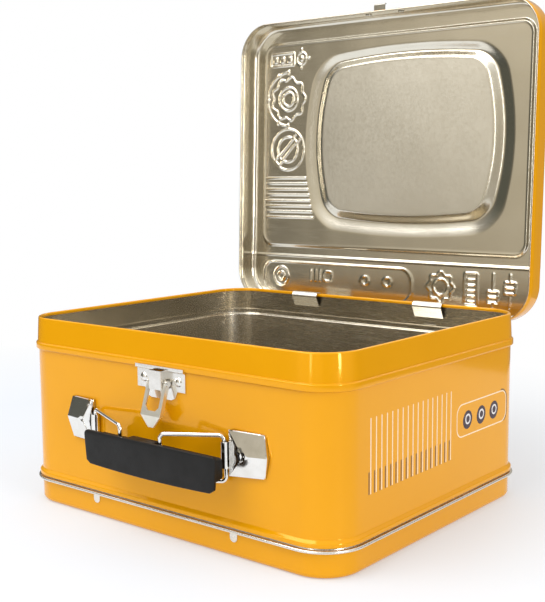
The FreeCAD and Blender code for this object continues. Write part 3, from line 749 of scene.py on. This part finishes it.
def lid_hem():
    """Rim folded inward: bare tin towards the inside, lacquer outside."""
    r0, r1, deep = 0.72, LID_OUT + 0.02, 1.7
    loop = [(r0, 0.25), (r0 + 0.12, 0.06), (r0 + 0.3, 0.0), (r1 - 0.3, 0.0), (r1 - 0.12, 0.06), (r1, 0.25),
            (r1, deep), (r0 + 0.15, deep), (r0, deep - 0.15)]
    path = plan_path(stops=[x for pair in NOTCHES for x in pair])

    def gap(a, b):
        middle = (a[0] + b[0]) / 2
        return a[1] > HALF_Y - 0.1 and b[1] > HALF_Y - 0.1 and any(x0 < middle < x1 for x0, x1 in NOTCHES)

    verts, faces, mats = swept(path, loop, [1, 1, 1, 1, 0, 0, 1, 1, 1], gap)
    verts = [lid_point(x, HALF_Y + LID_OUT - y, z) for x, y, z in verts]
    piece = mesh_piece("lid_hem", verts, faces, [ORANGE, TIN], mats)
    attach(piece, "lid")


# ---- printed side -------------------------------------------------------
INK = 0.05                          # ink stands this proud of the lacquer


def side_place(a, b, out):
    """A point on the right wall: a along Y, b along Z."""
    return HALF_X + out, a, b


def ink(name, outlines, material):
    """Flat prints on the right wall, as one piece."""
    pieces = [slab(name + str(i), outline, INK, -0.05, side_place, material, 0.02, 1)
              for i, outline in enumerate(outlines)]
    piece = joined(name, pieces)
    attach(piece, "tub")


def band(outline, width):
    """A closed outline as a hollow band: outer ring and inner ring as one polygon."""
    inner = [tuple(p) for p in inset_outline(outline, width)]
    return outline + outline[:1] + inner[:1] + inner[::-1]


VENTS, VENT_FIRST, VENT_PITCH = 17, -58.0, 4.24
VENT_LOW, VENT_HIGH, SHADOW_TALL = 33.0, 66.5, 10
SOCKET_PANEL = (15.4, 66.6, 41.8, 58.4, 5.2)
SOCKET_YS, SOCKET_Z = (26.3, 40.0, 53.3), 50.0


def side_prints():
    """Vent lines with their shadows, and a panel with three sockets."""
    cream, dark = [], []
    for k in range(VENTS):
        y = VENT_FIRST + VENT_PITCH * k
        cream.append(rounded_outline(y - 0.36, y + 0.36, VENT_LOW, VENT_HIGH, 0.34, 4))
        dark.append(rounded_outline(y - 1.75, y - 0.85, VENT_LOW, VENT_LOW + SHADOW_TALL, 0.4, 4))
    ink("vent_lines", cream, CREAM)
    ink("vent_shadows", dark, SHADE)
    ink("socket_panel", [band(rounded_outline(*SOCKET_PANEL, 8), 0.65)], CREAM)

    def end_arc(reach):
        turns = [(53.2, a) for a in range(100, -1, -10)] + [(47.0, a) for a in range(0, -61, -10)]
        return [(61.4 + reach * math.cos(math.radians(a)), z + reach * math.sin(math.radians(a)))
                for z, a in turns]

    ink("socket_panel_shadow", [end_arc(6.0)[::-1] + end_arc(5.2)], SHADE)
    for k, y in enumerate(SOCKET_YS):
        socket(k, y, SOCKET_Z)


def disc(radius, y, z):
    """Outline of a disc on the right wall."""
    steps = 28
    return [(y + radius * math.cos(2 * math.pi * k / steps), z + radius * math.sin(2 * math.pi * k / steps))
            for k in range(steps)]


def socket(index, y, z):
    """Printed socket: dark disc with a shadow, pale ring and dark centre."""
    layers = [("shadow", 4.3, y - 0.4, z - 0.6, PLUM, 0.03), ("disc", 4.3, y, z, PLUM, 0.07),
              ("ring", 2.65, y, z, PALE, 0.11), ("centre", 1.7, y, z, PLUM, 0.15)]
    pieces = [slab(name, disc(r, cy, cz), out, -0.05, side_place, material, 0.02, 1)
              for name, r, cy, cz, material, out in layers]
    piece = joined("socket_%d" % index, pieces)
    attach(piece, "tub")


# ---- bracket covers -----------------------------------------------------
COVER_EDGE, COVER_LIP, COVER_APEX, COVER_TIP = 0.95, 2.6, 3.9, 2.3      # heights above the wall
MOUTH_HALF = 6.5                    # the opening that the bracket's strap comes out of
COVER_FOLD = 7                      # folds of this many degrees or more are creased and bevelled
# side: sign of x, inner x, corner x, tip x, apex x, mid height, half height, and how far
# the outer end's lower corner is trimmed
COVERS = {"left": (-1, 44.9, 60.4, 63.2, 50.6, 49.6, 10.2, 0.0),
          "right": (1, 45.4, 64.2, 66.4, 54.2, 48.4, 10.2, 1.4)}


def bilinear(a, b, c, d, columns, rows):
    """Grid of points between the edges a-b and d-c."""
    grid = []
    for r in range(rows + 1):
        for k in range(columns + 1):
            s, t = k / columns, r / rows
            grid.append((a * (1 - s) + b * s) * (1 - t) + (d * (1 - s) + c * s) * t)
    return grid


def bracket_cover(hand, sign, inner, corner, tip, peak, middle, tall, trim):
    """Pressed cover: two bowed facets meet in a ridge, and the strap comes out under the inner lip."""
    def point(x, out, z):
        return Vector((sign * x, -HALF_Y - out, z))

    top_in, top_out = point(inner, COVER_LIP, middle + tall), point(corner, COVER_EDGE, middle + tall)
    low_in, low_out = point(inner, COVER_LIP, middle - tall), point(corner, COVER_EDGE, middle - tall + trim)
    apex, nose = point(peak, COVER_APEX, middle), point(tip, COVER_TIP, middle + trim / 2)
    columns, rows = 6, 5
    mouth, crease = [], []
    for k in range(2 * rows + 1):
        mouth.append(point(inner, COVER_LIP, middle + MOUTH_HALF * (k / rows - 1)))
        crease.append(low_in.lerp(apex, k / rows) if k < rows else apex.lerp(top_in, k / rows - 1))
    verts = bilinear(top_in, top_out, nose, apex, columns, rows)
    verts += bilinear(apex, nose, low_out, low_in, columns, rows)
    faces = []
    for first in (0, (columns + 1) * (rows + 1)):
        for r in range(rows):
            for k in range(columns):
                i = first + r * (columns + 1) + k
                faces.append((i, i + columns + 1, i + columns + 2, i + 1))
    base = len(verts)
    verts += mouth + crease
    for k in range(2 * rows):
        faces.append((base + k, base + k + 1, base + k + 2 * rows + 2, base + k + 2 * rows + 1))
    border = [mouth[-1]]
    border += [top_in + (top_out - top_in) * k / columns for k in range(columns + 1)]
    border += [top_out + (nose - top_out) * k / rows for k in range(1, rows + 1)]
    border += [nose + (low_out - nose) * k / rows for k in range(1, rows + 1)]
    border += [low_out + (low_in - low_out) * k / columns for k in range(1, columns + 1)]
    border.append(mouth[0])
    base = len(verts)
    for here in border:
        verts += [here, Vector((here.x, -HALF_Y - 0.03, here.z))]
    for k in range(len(border) - 1):
        i = base + 2 * k
        faces.append((i, i + 2, i + 3, i + 1))
    if sign > 0:
        faces = [tuple(reversed(face)) for face in faces]
    piece = mesh_piece("cover_" + hand, verts, faces, [NICKEL], sharp=COVER_FOLD)
    weld = piece.modifiers.new("weld", "WELD")
    weld.merge_threshold = 0.02 * MM
    edges = piece.modifiers.new("edges", "BEVEL")
    edges.width = 0.12 * MM
    edges.segments = 2
    edges.limit_method = "ANGLE"
    edges.angle_limit = math.radians(COVER_FOLD)
    edges.harden_normals = True
    sheet = piece.modifiers.new("sheet", "SOLIDIFY")
    sheet.thickness = 0.3 * MM
    sheet.offset = -1
    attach(piece, "tub")
    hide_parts("bracket_cover_" + hand)


# ---- handle grip --------------------------------------------------------
GRIP_POST = 4.4                     # width of the end posts
GRIP_BLOCK = (-7.3, 10.6)           # centre block's low and high x


def grip():
    """Two-part plastic grip with soft edges; the rings run in the channel between."""
    low, high = cad("grip_front")
    back_low, back_high = cad("grip_back")
    x0, x1, z1 = low.x, high.x, high.z
    bow, taper, wall = 1.0, 1.2, 1.7
    top_r, low_r = 2.2, 1.6
    z0 = low.z + bow
    left, right = x0 + taper, x1 - taper
    outline = []
    for cu, a0 in ((x1 - top_r, 0), (x0 + top_r, 90)):
        for k in range(7):
            a = math.radians(a0 + 15 * k)
            outline.append((cu + top_r * math.cos(a), z1 - top_r + top_r * math.sin(a)))
    steps = 32
    for k in range(steps + 1):
        x = left + (right - left) * k / steps
        near_end = max(low_r - min(x - left, right - x), 0)
        lift = low_r - math.sqrt(max(low_r * low_r - near_end * near_end, 0))
        outline.append((x, z0 - bow * (1 - (2 * k / steps - 1) ** 2) + lift))
    front, plate_back = -low.y - 0.15, -low.y - wall
    channel_floor = -back_low.y

    def place(a, b, out):
        return a, -out, b

    pieces = [slab("grip_plate", outline, front, plate_back, place, BLACK, 0.6, 5, 0.2)]
    posts = [(back_low.x, back_low.x + GRIP_POST, back_high.z), (*GRIP_BLOCK, z1),
             (back_high.x - GRIP_POST, back_high.x, back_high.z)]
    for a, b, top in posts:
        shape = rounded_outline(a, b, back_low.z, top, 0.8, 4)
        pieces.append(slab("grip_post", shape, plate_back + 0.05, channel_floor, place, BLACK, 0.2, 2))
    piece = joined("grip_outer", pieces)
    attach(piece, "grip")
    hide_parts("grip_front")
    shape = rounded_outline(back_low.x, back_high.x, back_low.z, back_high.z, 2.0, 6)
    back = slab("grip_inner", shape, -back_high.y, -back_low.y, place, BLACK, 0.5, 5, -0.2)
    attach(back, "grip")
    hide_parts("grip_back")


# ---- finishes of the CAD nodes that stay --------------------------------
SLOT_FINISHES = {"steel_fittings": NICKEL, "bare_tin": SEAM, "black_plastic": BLACK, "painted_tin": ORANGE}
NODE_FINISHES = {"latch_plate": SATIN_NICKEL, "latch_rivet_left": SATIN_NICKEL,
                 "latch_rivet_right": SATIN_NICKEL, "latch_link": LIT_LINK_NICKEL,
                 "catch_plate": CATCH_NICKEL, "catch_rivets": CATCH_NICKEL}


def dress_nodes():
    """Give each CAD node its own finish, or its slot's."""
    for part in frame["record"]["subparts"]:
        finish = NODE_FINISHES.get(part["node"], SLOT_FINISHES[part["material_slot"]])
        for slot in frame["nodes"][part["node"]].material_slots:
            slot.material = finish


# ---- camera, light and floor --------------------------------------------
def set_camera():
    """Camera to the right of the front, about level with the open lid's middle."""
    azimuth, elevation, roll = math.radians(39.38), math.radians(7.08), math.radians(-0.43)
    distance, target = 548.8, Vector((-1.25, 0.0, 103.3))
    back = Vector((math.sin(azimuth) * math.cos(elevation), -math.cos(azimuth) * math.cos(elevation),
                   math.sin(elevation)))
    right = (-back).cross(Vector((0, 0, 1))).normalized()
    up = right.cross(-back)
    x_axis = right * math.cos(roll) + up * math.sin(roll)
    y_axis = up * math.cos(roll) - right * math.sin(roll)
    turn = Matrix((x_axis, y_axis, back)).transposed().to_4x4()
    data = bpy.data.cameras.new("camera")
    data.sensor_width = 36.0
    data.lens = 62.66
    data.clip_start = 0.01
    camera = bpy.data.objects.new("camera", data)
    camera.matrix_world = Matrix.Translation((target + back * distance) * MM) @ turn
    bpy.context.scene.collection.objects.link(camera)
    bpy.context.scene.camera = camera


def area_light(name, place, aim, size, power):
    """Rectangular lamp; places and sizes in metres."""
    data = bpy.data.lights.new(name, "AREA")
    data.shape = "RECTANGLE"
    data.size, data.size_y = size
    data.energy = power
    lamp = bpy.data.objects.new(name, data)
    direction = Vector(aim) - Vector(place)
    lamp.location = place
    lamp.rotation_euler = direction.to_track_quat("-Z", "Y").to_euler()
    bpy.context.scene.collection.objects.link(lamp)


# The room that the object mirrors: colours by the Z, Y and X of the direction looked in.
# Overhead, SOFT_BOX_SHARE lets the height's colour stand alone.
ROOM_BY_HEIGHT = [(-1.0, (0.8, 0.8, 0.8)), (-0.2, (0.62, 0.58, 0.5)), (-0.05, (0.52, 0.47, 0.38)),
                  (0.01, (0.64, 0.58, 0.46)), (0.08, (0.56, 0.51, 0.41)), (0.2, (0.74, 0.67, 0.53)),
                  (0.36, (0.94, 0.9, 0.82)), (0.55, (1.0, 1.0, 1.0)), (1.0, (1.0, 1.0, 1.0))]
SOFT_BOX_SHARE = [(-1.0, (0, 0, 0)), (0.38, (0, 0, 0)), (0.62, (1, 1, 1)), (1.0, (1, 1, 1))]
ROOM_BY_DEPTH = [(-1.0, (1, 1, 1)), (0.3, (1, 1, 1)), (0.6, (0.7, 0.7, 0.7)), (1.0, (0.6, 0.6, 0.6))]
ROOM_BY_SIDE = [(-1.0, (0.2, 0.22, 0.23)), (-0.8, (0.15, 0.175, 0.185)), (-0.7, (0.3, 0.3, 0.3)),
                (-0.62, (0.32, 0.32, 0.31)), (-0.53, (0.84, 0.84, 0.84)), (-0.4, (1.0, 1.0, 1.0)),
                (0.0, (0.85, 0.87, 0.9)), (0.45, (0.8, 0.81, 0.83)), (0.64, (0.42, 0.42, 0.41)),
                (0.82, (0.6, 0.6, 0.6)), (1.0, (1.15, 1.15, 1.17))]


def set_world():
    """White behind the object, which mirrors a room, dark low on the left and white overhead."""
    world = bpy.data.worlds.new("studio")
    world.use_nodes = True
    nodes, links = world.node_tree.nodes, world.node_tree.links
    split = nodes.new("ShaderNodeSeparateXYZ")
    links.new(nodes.new("ShaderNodeTexCoord").outputs["Generated"], split.inputs[0])

    def ramp(source, stops):
        place = nodes.new("ShaderNodeMapRange")
        place.inputs["From Min"].default_value = -1
        links.new(source, place.inputs["Value"])
        node = nodes.new("ShaderNodeValToRGB")
        elements = node.color_ramp.elements
        for at, colour in stops[1:-1]:
            elements.new((at + 1) / 2)
        for element, (at, colour) in zip(elements, stops):
            element.color = (*colour, 1)
        links.new(place.outputs["Result"], node.inputs["Fac"])
        return node.outputs["Color"]

    height = ramp(split.outputs["Z"], ROOM_BY_HEIGHT)
    side = ramp(split.outputs["X"], ROOM_BY_SIDE)
    depth = ramp(split.outputs["Y"], ROOM_BY_DEPTH)
    overhead = ramp(split.outputs["Z"], SOFT_BOX_SHARE)
    mixes = []
    steps = [("MULTIPLY", height, side), ("MULTIPLY", None, depth), ("MIX", None, height)]
    for kind, colour_a, colour_b in steps:
        node = nodes.new("ShaderNodeMix")
        node.data_type = "RGBA"
        node.blend_type = kind
        node.inputs[0].default_value = 1.0
        links.new(colour_a or mixes[-1], node.inputs[6])
        links.new(colour_b, node.inputs[7])
        mixes.append(node.outputs[2])
    links.new(overhead, node.inputs[0])
    room = nodes["Background"]
    room.inputs["Strength"].default_value = 1.0
    links.new(mixes[-1], room.inputs["Color"])
    white = nodes.new("ShaderNodeBackground")
    white.inputs["Color"].default_value = (1, 1, 1, 1)
    seen = nodes.new("ShaderNodeMixShader")
    links.new(nodes.new("ShaderNodeLightPath").outputs["Is Camera Ray"], seen.inputs[0])
    links.new(room.outputs[0], seen.inputs[1])
    links.new(white.outputs[0], seen.inputs[2])
    links.new(seen.outputs[0], nodes["World Output"].inputs["Surface"])
    bpy.context.scene.world = world
    bpy.context.scene.view_settings.view_transform = "Standard"


def set_lamps():
    """One large soft box over the front left, and two slim ones each side of the camera."""
    area_light("key", (-0.35, -0.75, 1.1), (0, 0, 0.08), (1.0, 0.8), 9.2)
    area_light("strip_left", (0.15, -1.3, 0.45), (0, 0, 0.1), (0.12, 0.7), 1.2)
    area_light("strip_right", (1.35, -0.35, 0.45), (0, 0, 0.1), (0.14, 0.7), 5.6)


# The floor partly glows, from a share of FLOOR_GLOW in its middle to full at its edge: painted light on the floor.
FLOOR_RADIUS, FLOOR_FADE, FLOOR_GLOW = 0.55, 0.24, 0.3
FLOOR_X = FLOOR_Y = -0.1            # the disc's middle, towards the front left, so the glow lightens the shadow to the right of the tub


def set_floor():
    """Pale round floor that glows more towards its edge, fading into the white behind; the glow is painted light
    that also lightens the shadows on it.
    """
    sides = 96
    mesh = bpy.data.meshes.new("floor")
    turns = [2 * math.pi * k / sides for k in range(sides)]
    rim = [(FLOOR_RADIUS * math.cos(a), FLOOR_RADIUS * math.sin(a), 0) for a in turns]
    mesh.from_pydata(rim, [], [tuple(range(sides))])
    s = Shader("pale_floor", Roughness=0.6)
    s.finish(s.blend(s.noise(2), (0.78, 0.83, 0.9), (0.76, 0.81, 0.88)))
    glow = s.nodes.new("ShaderNodeEmission")
    faded = s.nodes.new("ShaderNodeMixShader")
    s.join(s.spread(s.length(s.place), FLOOR_FADE, FLOOR_RADIUS * 0.95, FLOOR_GLOW, 1), faded.inputs[0])
    s.join(s.surface.outputs[0], faded.inputs[1])
    s.join(glow.outputs[0], faded.inputs[2])
    s.join(faded.outputs[0], s.nodes["Material Output"].inputs["Surface"])
    mesh.materials.append(s.material)
    floor = bpy.data.objects.new("floor", mesh)
    floor.location = (FLOOR_X, FLOOR_Y, cad_box[0][2])
    bpy.context.scene.collection.objects.link(floor)


set_camera()
dress_nodes()
tub_shell()
tub_pan()
seam_ring()
for hand in ("left", "right"):
    seam_tab(hand, "front", 1)
    seam_tab(hand, "back", -1)
lid_shell()
lid_hem()
side_prints()
for hand, shape in COVERS.items():
    bracket_cover(hand, *shape)
grip()
set_world()
set_lamps()
set_floor()
